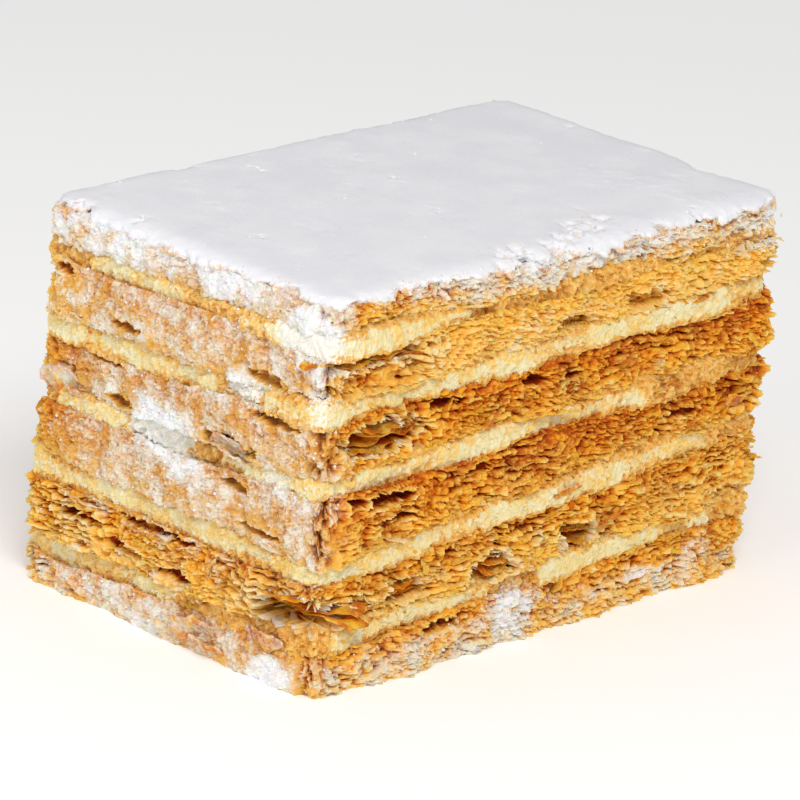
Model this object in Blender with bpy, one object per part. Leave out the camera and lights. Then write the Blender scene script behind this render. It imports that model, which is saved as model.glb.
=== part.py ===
"""A slice of mille feuille: six sheets of puff pastry, five layers of cream and a cap of icing sugar.

+X runs along the long cut side, +Y across the slice and +Z up. The origin is on the underside, at the
middle of the slice's bounding box.
"""

import math
import random

import bmesh
import bpy

MM = 0.001

# The block that the knife cut, before its layers crumble and squeeze out.
SLICE_LENGTH = 88 * MM
SLICE_DEPTH = 58 * MM
CORNER_RADIUS = 2.2 * MM
CORNER_TURNS = 2  # straight steps in each rounded corner
LENGTH_STEPS = 12
DEPTH_STEPS = 8

# Touching layers stay this far apart.
LAYER_GAP = 0.35 * MM

# Each boundary between layers ripples near the cut sides and lies flat further in.
RIPPLE_HEIGHT = 0.45 * MM
RIPPLE_LENGTH = 41 * MM
RIPPLE_REACH = 12 * MM
INNER_RINGS = (4.5 * MM, RIPPLE_REACH)

# Each layer's cut edge wanders in and out, by three waves that fit round the outline.
EDGE_WANDER = 0.45 * MM
EDGE_WAVES = (3, 5, 8)

# A piece has broken out of the two top sheets on the right side.
NOTCH_DEPTH = 4.0 * MM
NOTCH_Y = -14 * MM
NOTCH_WIDTH = 7.0 * MM

SUGAR_THICKNESS = 1.3 * MM

# The layers from the table up. "thick" is the thickness at the back left, front left, front right and
# back right corners, and "proud" how far the layer stands out of the cut block on its left, front,
# right and back sides, both in millimetres.
LAYERS = (
    {"name": "pastry_sheet_1", "thick": (3.8, 6.3, 9.0, 6.8), "proud": (0.3, 0.2, 0.2, 2.6)},
    {"name": "cream_layer_1", "thick": (3.2, 2.7, 3.0, 3.0), "proud": (-0.7, -0.5, -1.0, 1.6)},
    {"name": "pastry_sheet_2", "thick": (8.2, 6.8, 9.5, 9.0), "proud": (0.9, 0.3, 2.2, 2.2)},
    {"name": "cream_layer_2", "thick": (4.3, 3.0, 3.5, 3.6), "proud": (-0.3, -0.4, 0.6, 0.8)},
    {"name": "pastry_sheet_3", "thick": (6.7, 9.0, 6.0, 6.6), "proud": (0.8, 0.4, 1.6, 1.2)},
    {"name": "cream_layer_3", "thick": (2.8, 3.2, 3.0, 3.0), "proud": (-0.5, -0.5, -0.4, 0.2)},
    {"name": "pastry_sheet_4", "thick": (6.6, 7.2, 7.5, 7.2), "proud": (0.6, 0.4, 1.2, 0.3)},
    {"name": "cream_layer_4", "thick": (3.7, 3.0, 3.7, 3.4), "proud": (0.3, -0.2, -1.8, -0.6)},
    {"name": "pastry_sheet_5", "thick": (8.2, 6.6, 4.6, 5.8), "proud": (0.7, 0.3, 1.4, -0.6)},
    {"name": "cream_layer_5", "thick": (1.8, 2.6, 1.6, 1.7), "proud": (-0.4, -0.4, -0.6, -1.4)},
    {"name": "pastry_sheet_6", "thick": (5.2, 4.1, 3.5, 4.5), "proud": (0.2, 0.2, 0.6, -1.2)},
)
NOTCHED_LAYERS = ("pastry_sheet_5", "cream_layer_5", "pastry_sheet_6", "icing_sugar")

# Wall profiles from the underside up: (share of the layer's height, inset from its outline).
PASTRY_WALL = ((0.0, 0.7 * MM), (0.25, 0.0), (0.75, 0.0), (1.0, 0.7 * MM))
CREAM_WALL = ((0.0, 0.5 * MM), (0.5, -0.2 * MM), (1.0, 0.5 * MM))
TOP_SHEET_WALL = ((0.0, 0.7 * MM), (0.2, 0.0), (0.55, 0.0), (0.85, 0.7 * MM), (1.0, 2.2 * MM))
SUGARED_SHOULDER = TOP_SHEET_WALL[2:]

PASTRY_FINISH = {"name": "pastry", "colour": (0.71, 0.41, 0.14, 1.0), "roughness": 0.75}
CREAM_FINISH = {"name": "cream", "colour": (0.89, 0.81, 0.55, 1.0), "roughness": 0.45}
SUGAR_FINISH = {"name": "icing_sugar", "colour": (0.84, 0.84, 0.86, 1.0), "roughness": 0.95}


def remove_old_objects():
    for old in list(bpy.data.objects):
        bpy.data.objects.remove(old)


def finish(name, colour, roughness):
    """A Principled material of that colour and roughness."""
    material = bpy.data.materials.new(name)
    material.use_nodes = True
    shader = material.node_tree.nodes["Principled BSDF"]
    shader.inputs["Base Color"].default_value = colour
    shader.inputs["Roughness"].default_value = roughness
    shader.inputs["Metallic"].default_value = 0.0
    return material


def corner_mix(values, x, y):
    """A value given at the four corners, read at x, y between them."""
    back_left, front_left, front_right, back_right = values
    across = min(1.0, max(0.0, x / SLICE_LENGTH + 0.5))
    back = min(1.0, max(0.0, y / SLICE_DEPTH + 0.5))
    left = front_left + (back_left - front_left) * back
    right = front_right + (back_right - front_right) * back
    return left + (right - left) * across


def edge_share(x, y):
    """1 at the cut block's sides, 0 from RIPPLE_REACH inwards."""
    inside = min(SLICE_LENGTH / 2 - abs(x), SLICE_DEPTH / 2 - abs(y))
    share = 1 - inside / RIPPLE_REACH
    return min(1.0, max(0.0, share))


def boundary_height(level, x, y):
    """How high the boundary below layer number `level` is at x, y."""
    total = sum(corner_mix(layer["thick"], x, y) for layer in LAYERS[:level]) * MM
    if level in (0, len(LAYERS)):
        return total
    phase = 2.4 * level
    ripple = math.sin(math.tau * (x + y) / RIPPLE_LENGTH + phase)
    return total + RIPPLE_HEIGHT * ripple * edge_share(x, y)


def nominal_outline():
    """Points round the cut block, anticlockwise from its front left corner, each with its outward normal."""
    half_x = SLICE_LENGTH / 2 - CORNER_RADIUS
    half_y = SLICE_DEPTH / 2 - CORNER_RADIUS
    corners = ((-half_x, -half_y, 180), (half_x, -half_y, 270), (half_x, half_y, 0), (-half_x, half_y, 90))
    points = []
    for number, (x, y, start) in enumerate(corners):
        for turn in range(CORNER_TURNS + 1):
            angle = math.radians(start + 90 * turn / CORNER_TURNS)
            normal = (math.cos(angle), math.sin(angle))
            points.append((x + CORNER_RADIUS * normal[0], y + CORNER_RADIUS * normal[1], *normal))
        side_angle = math.radians(start + 90)
        side = (round(math.cos(side_angle)), round(math.sin(side_angle)))
        steps = LENGTH_STEPS if number % 2 == 0 else DEPTH_STEPS
        next_x, next_y, _ = corners[(number + 1) % 4]
        for step in range(1, steps):
            share = step / steps
            along_x = x + (next_x - x) * share + CORNER_RADIUS * side[0]
            along_y = y + (next_y - y) * share + CORNER_RADIUS * side[1]
            points.append((along_x, along_y, *side))
    return points


def edge_waves(name):
    """How far a layer's edge wanders at each share of the way round, the same on each run."""
    chance = random.Random(name)
    phases = [chance.uniform(0, math.tau) for _ in EDGE_WAVES]

    def wander(share):
        waves = (math.sin(math.tau * count * share + phase) for count, phase in zip(EDGE_WAVES, phases))
        return EDGE_WANDER * sum(waves) / math.sqrt(len(EDGE_WAVES))

    return wander


def notch(name, x, y):
    """How far the broken piece on the right side takes a layer's edge in."""
    if name not in NOTCHED_LAYERS or x < SLICE_LENGTH / 4:
        return 0.0
    return NOTCH_DEPTH * math.exp(-(((y - NOTCH_Y) / NOTCH_WIDTH) ** 2))


def layer_outline(name, proud):
    """The layer's own outline: the cut block's, moved out on each side, wandering and notched."""
    left, front, right, back = (value * MM for value in proud)
    wander = edge_waves(name)
    nominal = nominal_outline()
    outline = []
    for number, (x, y, normal_x, normal_y) in enumerate(nominal):
        side_x = right * max(normal_x, 0) - left * max(-normal_x, 0)
        side_y = back * max(normal_y, 0) - front * max(-normal_y, 0)
        loose = wander(number / len(nominal))
        loose_x = loose * normal_x - notch(name, x, y) * max(normal_x, 0)
        loose_y = loose * normal_y
        outline.append((x + side_x + loose_x, y + side_y + loose_y, normal_x, normal_y))
    return outline


def moved_in(outline, inset):
    return [(x - inset * normal_x, y - inset * normal_y) for x, y, normal_x, normal_y in outline]


def shrunk_block(inset):
    """The cut block's outline drawn in evenly on all sides. Every layer shares these inner rings."""
    scale_x = 1 - inset / (SLICE_LENGTH / 2)
    scale_y = 1 - inset / (SLICE_DEPTH / 2)
    return [(x * scale_x, y * scale_y) for x, y, _, _ in nominal_outline()]


def flat_rings(height_at):
    """The inner rings of an upper or lower surface, outermost first."""
    return [[(x, y, height_at(x, y)) for x, y in shrunk_block(inset)] for inset in INNER_RINGS]


def wall_ring(outline, inset, share, low_at, high_at):
    ring = []
    for x, y in moved_in(outline, inset):
        low = low_at(x, y)
        ring.append((x, y, low + (high_at(x, y) - low) * share))
    return ring


def closed_body(name, rings, low_middle, high_middle, material):
    """An object whose skin runs from the middle of its underside, through the rings, to the middle of its top."""
    body = bmesh.new()
    loops = [[body.verts.new(point) for point in ring] for ring in rings]
    count = len(loops[0])
    for inner, outer in zip(loops, loops[1:]):
        for i in range(count):
            j = (i + 1) % count
            body.faces.new((inner[i], inner[j], outer[j], outer[i]))
    middles = ((body.verts.new(low_middle), loops[0]), (body.verts.new(high_middle), loops[-1]))
    for middle, loop in middles:
        for i in range(count):
            body.faces.new((middle, loop[i], loop[(i + 1) % count]))
    bmesh.ops.recalc_face_normals(body, faces=body.faces)
    mesh = bpy.data.meshes.new(name)
    body.to_mesh(mesh)
    body.free()
    mesh.materials.append(material)
    mesh.shade_smooth()
    mesh.set_sharp_from_angle(angle=math.radians(40))
    made = bpy.data.objects.new(name, mesh)
    bpy.context.scene.collection.objects.link(made)
    return made


def baked_layer(level, wall, material):
    """One sheet of pastry or layer of cream, between the boundaries below and above it."""
    layer = LAYERS[level]

    def low_at(x, y):
        return boundary_height(level, x, y) + (LAYER_GAP / 2 if level else 0)

    def high_at(x, y):
        return boundary_height(level + 1, x, y) - LAYER_GAP / 2

    outline = layer_outline(layer["name"], layer["proud"])
    rings = flat_rings(low_at)[::-1]
    rings += [wall_ring(outline, inset, share, low_at, high_at) for share, inset in wall]
    rings += flat_rings(high_at)
    return closed_body(layer["name"], rings, (0, 0, low_at(0, 0)), (0, 0, high_at(0, 0)), material)


def sugar_cap(material):
    """The sifted sugar: an even cap on the top sheet that turns down over its rounded shoulder."""
    top_level = len(LAYERS) - 1
    sheet = LAYERS[top_level]
    outline = layer_outline(sheet["name"], sheet["proud"])

    def sheet_low(x, y):
        return boundary_height(top_level, x, y) + LAYER_GAP / 2

    def sheet_high(x, y):
        return boundary_height(top_level + 1, x, y) - LAYER_GAP / 2

    def skin(clearance, side_clearance):
        """The sheet's shoulder and top, moved out by the clearances, from the rim inwards."""
        rings = []
        for share, inset in SUGARED_SHOULDER:
            on_sheet = wall_ring(outline, inset, share, sheet_low, sheet_high)
            place = moved_in(outline, inset - side_clearance)
            rings.append([(x, y, old[2] + clearance) for (x, y), old in zip(place, on_sheet)])
        return rings + flat_rings(lambda x, y: sheet_high(x, y) + clearance)

    under = skin(LAYER_GAP, LAYER_GAP)
    over = skin(LAYER_GAP + SUGAR_THICKNESS, SUGAR_THICKNESS * 0.6 + LAYER_GAP)
    low_middle = (0, 0, sheet_high(0, 0) + LAYER_GAP)
    high_middle = (0, 0, sheet_high(0, 0) + LAYER_GAP + SUGAR_THICKNESS)
    return closed_body("icing_sugar", under[::-1] + over, low_middle, high_middle, material)


def centre_on_origin(objects):
    """Moves every mesh so that the origin is under the middle of the whole slice's bounding box."""
    points = [vertex.co for made in objects for vertex in made.data.vertices]
    middle_x = (min(p.x for p in points) + max(p.x for p in points)) / 2
    middle_y = (min(p.y for p in points) + max(p.y for p in points)) / 2
    for made in objects:
        for vertex in made.data.vertices:
            vertex.co.x -= middle_x
            vertex.co.y -= middle_y


def build_slice():
    remove_old_objects()
    pastry = finish(**PASTRY_FINISH)
    cream = finish(**CREAM_FINISH)
    sugar = finish(**SUGAR_FINISH)
    made = []
    for level, layer in enumerate(LAYERS):
        if layer["name"].startswith("cream"):
            made.append(baked_layer(level, CREAM_WALL, cream))
        elif level == len(LAYERS) - 1:
            made.append(baked_layer(level, TOP_SHEET_WALL, pastry))
        else:
            made.append(baked_layer(level, PASTRY_WALL, pastry))
    made.append(sugar_cap(sugar))
    centre_on_origin(made)


build_slice()
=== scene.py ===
import math
import random

import bmesh
import bpy
import numpy as np
from mathutils import Matrix, Vector
from mathutils.bvhtree import BVHTree


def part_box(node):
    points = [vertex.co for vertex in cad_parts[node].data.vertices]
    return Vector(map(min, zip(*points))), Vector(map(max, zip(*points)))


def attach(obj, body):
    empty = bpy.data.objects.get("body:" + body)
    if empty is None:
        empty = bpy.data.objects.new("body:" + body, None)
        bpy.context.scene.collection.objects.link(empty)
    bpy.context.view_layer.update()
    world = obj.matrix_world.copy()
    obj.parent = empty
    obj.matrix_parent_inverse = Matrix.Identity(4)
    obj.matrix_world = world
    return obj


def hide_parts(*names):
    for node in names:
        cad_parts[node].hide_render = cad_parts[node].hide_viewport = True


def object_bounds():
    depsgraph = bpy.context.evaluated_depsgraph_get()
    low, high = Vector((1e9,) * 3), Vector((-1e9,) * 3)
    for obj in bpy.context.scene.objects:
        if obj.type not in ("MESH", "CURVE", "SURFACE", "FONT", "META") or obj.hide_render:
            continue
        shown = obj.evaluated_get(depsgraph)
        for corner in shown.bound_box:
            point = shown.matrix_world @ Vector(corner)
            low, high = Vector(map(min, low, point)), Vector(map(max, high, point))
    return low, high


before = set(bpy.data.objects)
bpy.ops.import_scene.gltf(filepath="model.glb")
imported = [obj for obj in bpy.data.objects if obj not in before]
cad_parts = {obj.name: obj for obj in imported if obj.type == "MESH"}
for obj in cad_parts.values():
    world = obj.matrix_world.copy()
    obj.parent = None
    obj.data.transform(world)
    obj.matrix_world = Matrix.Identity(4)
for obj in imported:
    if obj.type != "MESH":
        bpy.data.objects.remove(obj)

MM = 0.001
cad_low, cad_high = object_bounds()


# ---------------------------------------------------------------------------------------------------
# The stage. A pale paper sweep lies under the slice, a large soft lamp hangs over its front, a weaker
# one stands on its left and the pale room fills the rest, so that no shadow has a hard edge.

slice_middle = (cad_low + cad_high) / 2

floor_mesh = bpy.data.meshes.new("paper_floor")
floor_half = 3.0
floor_signs = ((-1, -1), (1, -1), (1, 1), (-1, 1))
floor_corners = [(x * floor_half, y * floor_half, 0) for x, y in floor_signs]
floor_mesh.from_pydata(floor_corners, [], [(0, 1, 2, 3)])
floor = bpy.data.objects.new("paper_floor", floor_mesh)
bpy.context.scene.collection.objects.link(floor)

paper = bpy.data.materials.new("white_paper")
paper.use_nodes = True
paper_shader = paper.node_tree.nodes["Principled BSDF"]
paper_shader.inputs["Base Color"].default_value = (0.93, 0.93, 0.93, 1)
paper_shader.inputs["Roughness"].default_value = 0.9
paper_shader.inputs["Emission Color"].default_value = (1, 1, 1, 1)
paper_shader.inputs["Emission Strength"].default_value = 0.22
floor_mesh.materials.append(paper)

room = bpy.data.worlds.new("pale_room")
room.use_nodes = True
room.node_tree.nodes["Background"].inputs["Color"].default_value = (1.0, 1.0, 1.0, 1)
room.node_tree.nodes["Background"].inputs["Strength"].default_value = 0.42
bpy.context.scene.world = room
bpy.context.scene.view_settings.view_transform = "Standard"


def soft_lamp(name, place, size, power, colour):
    """A square area lamp at that place, turned to the middle of the slice."""
    lamp_data = bpy.data.lights.new(name, "AREA")
    lamp_data.size = size
    lamp_data.energy = power
    lamp_data.color = colour
    lamp = bpy.data.objects.new(name, lamp_data)
    lamp.location = place
    lamp.rotation_euler = (slice_middle - Vector(place)).to_track_quat("-Z", "Y").to_euler()
    bpy.context.scene.collection.objects.link(lamp)


soft_lamp("window_lamp", (-0.35, -0.50, 0.62), 0.30, 3.6, (1.0, 0.985, 0.96))
soft_lamp("left_lamp", (-0.70, -0.05, 0.35), 0.45, 1.0, (0.97, 0.98, 1.0))

camera_data = bpy.data.cameras.new("camera")
camera_data.lens = 255.0
camera_data.sensor_width = 36
camera_data.clip_start = 0.01
camera = bpy.data.objects.new("camera", camera_data)
camera_azimuth = math.radians(-45.7)
camera_elevation = math.radians(19.1)
camera_roll = math.radians(4.0)
camera_distance = 0.784
aim_across = -0.76 * MM
aim_up = -2.72 * MM
camera_back = Vector((
    math.sin(camera_azimuth) * math.cos(camera_elevation),
    -math.cos(camera_azimuth) * math.cos(camera_elevation),
    math.sin(camera_elevation)))
level_right = Vector((math.cos(camera_azimuth), math.sin(camera_azimuth), 0))
level_up = camera_back.cross(level_right)
camera_right = level_right * math.cos(camera_roll) + level_up * math.sin(camera_roll)
camera_up = level_up * math.cos(camera_roll) - level_right * math.sin(camera_roll)
aim = slice_middle + camera_right * aim_across + camera_up * aim_up
camera.matrix_world = Matrix((
    (camera_right.x, camera_up.x, camera_back.x, aim.x + camera_back.x * camera_distance),
    (camera_right.y, camera_up.y, camera_back.y, aim.y + camera_back.y * camera_distance),
    (camera_right.z, camera_up.z, camera_back.z, aim.z + camera_back.z * camera_distance),
    (0, 0, 0, 1)))
bpy.context.scene.collection.objects.link(camera)
bpy.context.scene.camera = camera


# ---------------------------------------------------------------------------------------------------
# The pastry sheets. Each is puff pastry, baked crisp and cut with a knife, so its cut sides are stacks
# of thin broken leaves and coarse crumb, with open pockets where the leaves have parted.

COLUMN_GAP = 0.32 * MM
CORNER_RADIUS = 5.0 * MM
CORNER_WEAR = 0.5 * MM


def way_round(node, gap):
    """Places round the node's box from its front left corner, anticlockwise: x, y, outward x, y and way."""
    low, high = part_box(node)
    centres = (
        (low.x + CORNER_RADIUS, low.y + CORNER_RADIUS, 225),
        (high.x - CORNER_RADIUS, low.y + CORNER_RADIUS, 270),
        (high.x - CORNER_RADIUS, high.y - CORNER_RADIUS, 0),
        (low.x + CORNER_RADIUS, high.y - CORNER_RADIUS, 90),
        (low.x + CORNER_RADIUS, low.y + CORNER_RADIUS, 180))
    arcs = (45, 90, 90, 90, 45)
    straights = (high.x - low.x, high.y - low.y, high.x - low.x, high.y - low.y)
    total = 2 * math.pi * CORNER_RADIUS + sum(straights) - 8 * CORNER_RADIUS
    count = round(total / gap)
    places = []
    for k in range(count):
        left_over = way = total * k / count
        for number, (x, y, start) in enumerate(centres):
            arc = math.radians(arcs[number]) * CORNER_RADIUS
            if left_over <= arc or number == 4:
                angle = math.radians(start) + left_over / CORNER_RADIUS
                out = (math.cos(angle), math.sin(angle))
                places.append((x + CORNER_RADIUS * out[0], y + CORNER_RADIUS * out[1], *out, way))
                break
            left_over -= arc
            straight = straights[number] - 2 * CORNER_RADIUS
            if left_over <= straight:
                angle = math.radians(start + arcs[number])
                out = (math.cos(angle), math.sin(angle))
                along = (-out[1], out[0])
                px = x + CORNER_RADIUS * out[0] + along[0] * left_over
                py = y + CORNER_RADIUS * out[1] + along[1] * left_over
                places.append((px, py, *out, way))
                break
            left_over -= straight
    places = np.array(places)
    behind = places[:, 4] > total / 2
    places[behind, 4] -= total
    return places


def eased(values, reach):
    """The values round a closed loop, each replaced by a bell-weighted mean of its neighbours."""
    weights = np.exp(-(np.arange(-reach, reach + 1) / (reach * 0.5)) ** 2)
    turned = [
        np.roll(values, shift, axis=0) * weight for shift, weight in zip(range(-reach, reach + 1), weights)]
    return sum(turned) / weights.sum()


def layer_shell(name, node, wall_step, bevel, top_insets, low_insets):
    """A fine closed shell on the CAD layer: rows up its cut sides, and rings across its top and underside.

    Its attributes say where each point sits on the cut side, which way is out, and how much of the
    crumbling reaches it.
    """
    solid = bmesh.new()
    solid.from_mesh(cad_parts[node].data)
    cad = BVHTree.FromBMesh(solid)
    solid.free()
    low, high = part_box(node)
    middle = (low + high) / 2
    rim = way_round(node, COLUMN_GAP)
    count = len(rim)
    outward = rim[:, 2:4]

    def heights(points):
        """How high the layer's top and underside are at each x, y."""
        tops = [cad.ray_cast(Vector((x, y, 1)), Vector((0, 0, -1)))[0] for x, y in points]
        lows = [cad.ray_cast(Vector((x, y, -1)), Vector((0, 0, 1)))[0] for x, y in points]
        top = np.array([hit.z if hit else np.nan for hit in tops])
        under = np.array([hit.z if hit else np.nan for hit in lows])
        known = ~np.isnan(top)
        index = np.arange(len(points))
        top = np.interp(index, index[known], top[known])
        under = np.interp(index, index[known], under[known])
        return top, under

    probe = 7 * MM
    top, under = heights(rim[:, :2] - outward * probe)
    wall = np.array(rim[:, :2])
    for k in range(count):
        start = Vector((*(rim[k, :2] + outward[k] * probe), (top[k] + under[k]) / 2))
        hit = cad.ray_cast(start, Vector((*(-outward[k]), 0)))[0]
        if hit:
            wall[k] = hit.xy
    wall = eased(wall, 6)
    corner = np.abs(2 * outward[:, 0] * outward[:, 1])[:, None]
    wall = wall - eased(outward * corner, 12) * CORNER_WEAR
    top, under = heights(wall - outward * 1.5 * MM)
    top = eased(top, 6)
    under = eased(under, 6)

    def shrunk(inset):
        """The cut side's line drawn in evenly on all four sides."""
        share = np.array((1 - inset / (high.x - middle.x), 1 - inset / (high.y - middle.y)))
        return np.array(middle.xy) + (wall - np.array(middle.xy)) * share

    rows = []
    thickness = float(np.mean(top - under))
    wall_rows = max(6, round(thickness / wall_step))
    for inset in low_insets[::-1]:
        ring = shrunk(inset)
        level = heights(ring)[1]
        rows.append((ring, level, under, -1.0, inset, -1.0))
    for j in range(wall_rows + 1):
        share = j / wall_rows
        ring = wall - outward * bevel * abs(2 * share - 1) ** 5
        level = under + (top - under) * share
        rows.append((ring, level, level, 0.0, 0.0, 2 * share - 1))
    for inset in top_insets:
        ring = shrunk(inset)
        level = heights(ring)[0]
        rows.append((ring, level, top, 1.0, inset, 1.0))

    points, seats, outs, pushes, lifts, rises, ways = [], [], [], [], [], [], []
    fade = 5 * MM
    for ring, level, seat_level, lift, inset, rise in rows:
        points.append(np.column_stack((ring, level)))
        seats.append(np.column_stack((wall, seat_level)))
        outs.append(np.column_stack((outward, np.zeros(count))))
        pushes.append(np.full(count, max(0.0, 1 - inset / fade)))
        lifts.append(np.full(count, lift))
        rises.append(np.full(count, rise * max(0.0, 1 - inset / (3 * MM))))
        ways.append(rim[:, 4])
    ends = np.array((
        (middle.x, middle.y, heights([middle.xy])[1][0]),
        (middle.x, middle.y, heights([middle.xy])[0][0])))
    points = np.vstack(points + [ends])
    seats = np.vstack(seats + [ends])
    outs = np.vstack(outs + [np.zeros((2, 3))])
    pushes = np.concatenate(pushes + [np.zeros(2)])
    lifts = np.concatenate(lifts + [np.array((-1.0, 1.0))])
    rises = np.concatenate(rises + [np.zeros(2)])
    ways = np.concatenate(ways + [np.zeros(2)])

    ring_start = np.arange(len(rows) - 1)[:, None] * count
    here = np.arange(count)[None, :]
    after = (here + 1) % count
    quads = np.stack(
        (ring_start + here, ring_start + after, ring_start + count + after, ring_start + count + here), -1)
    last = (len(rows) - 1) * count
    low_end = len(points) - 2
    high_end = len(points) - 1
    faces = quads.reshape(-1, 4).tolist()
    faces += [(low_end, (k + 1) % count, k) for k in range(count)]
    faces += [(high_end, last + k, last + (k + 1) % count) for k in range(count)]
    mesh = bpy.data.meshes.new(name)
    mesh.from_pydata(points.tolist(), [], faces)
    for label, kind, field, values in (
            ("seat", "FLOAT_VECTOR", "vector", seats), ("outward", "FLOAT_VECTOR", "vector", outs),
            ("push", "FLOAT", "value", pushes), ("lift", "FLOAT", "value", lifts),
            ("rise", "FLOAT", "value", rises), ("way", "FLOAT", "value", ways)):
        mesh.attributes.new(label, kind, "POINT").data.foreach_set(
            field, np.ascontiguousarray(values, np.float32).ravel())
    shell = bpy.data.objects.new(name, mesh)
    bpy.context.scene.collection.objects.link(shell)
    return shell, seats, ways


def spread(seats, ways, spots):
    """How far inside its nearest spot each point is (1 in the middle, 0 at its rim), and its amount."""
    inside = np.full(len(ways), -3.0)
    amount = np.zeros(len(ways))
    for way, height, half_way, half_height, strength in spots:
        across = (ways - way * MM) / (half_way * MM)
        up = (seats[:, 2] - height * MM) / (half_height * MM)
        share = 1 - across ** 2 - up ** 2
        nearer = share > inside
        inside[nearer] = share[nearer]
        amount[nearer] = strength
    return inside, amount


def store(shell, label, values):
    """Keeps one number for each point of the shell under that name."""
    layer = shell.data.attributes.new(label, "FLOAT", "POINT")
    layer.data.foreach_set("value", np.ascontiguousarray(values, np.float32))


def add(tree, kind, inputs=None, **settings):
    """A new node of that kind, with its settings, and its inputs set to values or joined to sockets."""
    node = tree.nodes.new(kind)
    for label, value in settings.items():
        setattr(node, label, value)
    for key, value in (inputs or {}).items():
        if isinstance(value, bpy.types.NodeSocket):
            tree.links.new(value, node.inputs[key])
        else:
            node.inputs[key].default_value = value
    return node


def tree_of(*values):
    """The node tree that the first socket among the values belongs to."""
    return next(value.id_data for value in values if isinstance(value, bpy.types.NodeSocket))


def maths(operation, *values):
    return add(tree_of(*values), "ShaderNodeMath", dict(enumerate(values)), operation=operation).outputs[0]


def plus(*values):
    return maths("ADD", *values)


def minus(*values):
    return maths("SUBTRACT", *values)


def times(*values):
    return maths("MULTIPLY", *values)


def times_plus(*values):
    """The first value times the second, plus the third."""
    return maths("MULTIPLY_ADD", *values)


def vector_maths(operation, *values):
    inputs = dict(enumerate(values))
    return add(tree_of(*values), "ShaderNodeVectorMath", inputs, operation=operation).outputs[0]


def moved_by(*values):
    return vector_maths("ADD", *values)


def scaled(vector, factor):
    inputs = {0: vector, "Scale": factor}
    return add(tree_of(vector, factor), "ShaderNodeVectorMath", inputs, operation="SCALE").outputs[0]


def parts(vector):
    """The vector's x, y and z."""
    return add(tree_of(vector), "ShaderNodeSeparateXYZ", {0: vector}).outputs


def upright(height):
    """A vector straight up, of that length."""
    return add(tree_of(height), "ShaderNodeCombineXYZ", {2: height}).outputs[0]


def same_each_way(value):
    """A vector with the value as its x, y and z."""
    return add(tree_of(value), "ShaderNodeCombineXYZ", {0: value, 1: value, 2: value}).outputs[0]


def eased_share(value, low, high, to_low=0.0, to_high=1.0):
    """The value eased from low..high to to_low..to_high, and held at the ends."""
    inputs = {"Value": value, "From Min": low, "From Max": high, "To Min": to_low, "To Max": to_high}
    return add(tree_of(value), "ShaderNodeMapRange", inputs, interpolation_type="SMOOTHSTEP").outputs[0]


def noise(vector, size, detail, roughness):
    inputs = {"Vector": vector, "Scale": 1 / size, "Detail": detail, "Roughness": roughness}
    return add(tree_of(vector), "ShaderNodeTexNoise", inputs).outputs


def clouds(vector, size, detail=2.0, roughness=0.5):
    """Noise from 0 to 1 whose blobs are about that many metres across."""
    return noise(vector, size, detail, roughness)[0]


def drift(vector, size, detail=2.0, roughness=0.5):
    """A random shift of up to half a metre each way, which changes over that many metres."""
    return vector_maths("SUBTRACT", noise(vector, size, detail, roughness)[1], (0.5, 0.5, 0.5))


def cells(vector, size):
    """Random numbers, three for each cell, the cells about that many metres across."""
    found = add(tree_of(vector), "ShaderNodeTexVoronoi", {"Vector": vector, "Scale": 1 / size})
    return parts(found.outputs["Color"])


def new_tree(name, inputs):
    """A Geometry Nodes tree with those named inputs: returns it with its input and output nodes."""
    tree = bpy.data.node_groups.new(name, "GeometryNodeTree")
    tree.interface.new_socket("Geometry", in_out="INPUT", socket_type="NodeSocketGeometry")
    for label, kind in inputs:
        tree.interface.new_socket(label, in_out="INPUT", socket_type="NodeSocket" + kind)
    tree.interface.new_socket("Geometry", in_out="OUTPUT", socket_type="NodeSocketGeometry")
    return tree, tree.nodes.new("NodeGroupInput").outputs, tree.nodes.new("NodeGroupOutput").inputs


def named(tree, label, kind="FLOAT"):
    """Reads an attribute of the geometry."""
    return add(tree, "GeometryNodeInputNamedAttribute", {"Name": label}, data_type=kind).outputs["Attribute"]


def keep(geometry, label, value):
    """Stores a number for each point of the geometry."""
    inputs = {"Geometry": geometry, "Name": label, "Value": value}
    node = add(
        tree_of(geometry), "GeometryNodeStoreNamedAttribute", inputs, data_type="FLOAT", domain="POINT")
    return node.outputs[0]


def held_in_box(place, given):
    """The place, brought back to the nearest one between the tree's lowest and highest corners."""
    return vector_maths("MINIMUM", vector_maths("MAXIMUM", place, given["Lowest"]), given["Highest"])


def end_tree(geometry, given, made):
    """Gives the geometry the tree's material, and ends the tree with it."""
    inputs = {"Geometry": geometry, "Material": given["Finish"]}
    finished = add(tree_of(geometry), "GeometryNodeSetMaterial", inputs).outputs[0]
    finished.id_data.links.new(finished, made[0])


def new_material(name, roughness, specular, depth_of_glow, colour_of_glow, glow):
    """A material with its tree and shader. The glow is light scattered under the surface."""
    material = bpy.data.materials.new(name)
    material.use_nodes = True
    shader = material.node_tree.nodes["Principled BSDF"]
    shader.inputs["Roughness"].default_value = roughness
    shader.inputs["Specular IOR Level"].default_value = specular
    shader.inputs["Subsurface Weight"].default_value = glow
    shader.inputs["Subsurface Radius"].default_value = colour_of_glow
    shader.inputs["Subsurface Scale"].default_value = depth_of_glow
    return material, material.node_tree, shader


def roughen(shader, strength, depth, height):
    """A fine relief in the shader's light."""
    inputs = {"Strength": strength, "Distance": depth, "Height": height}
    relief = add(tree_of(height), "ShaderNodeBump", inputs).outputs[0]
    relief.id_data.links.new(relief, shader.inputs["Normal"])


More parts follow.
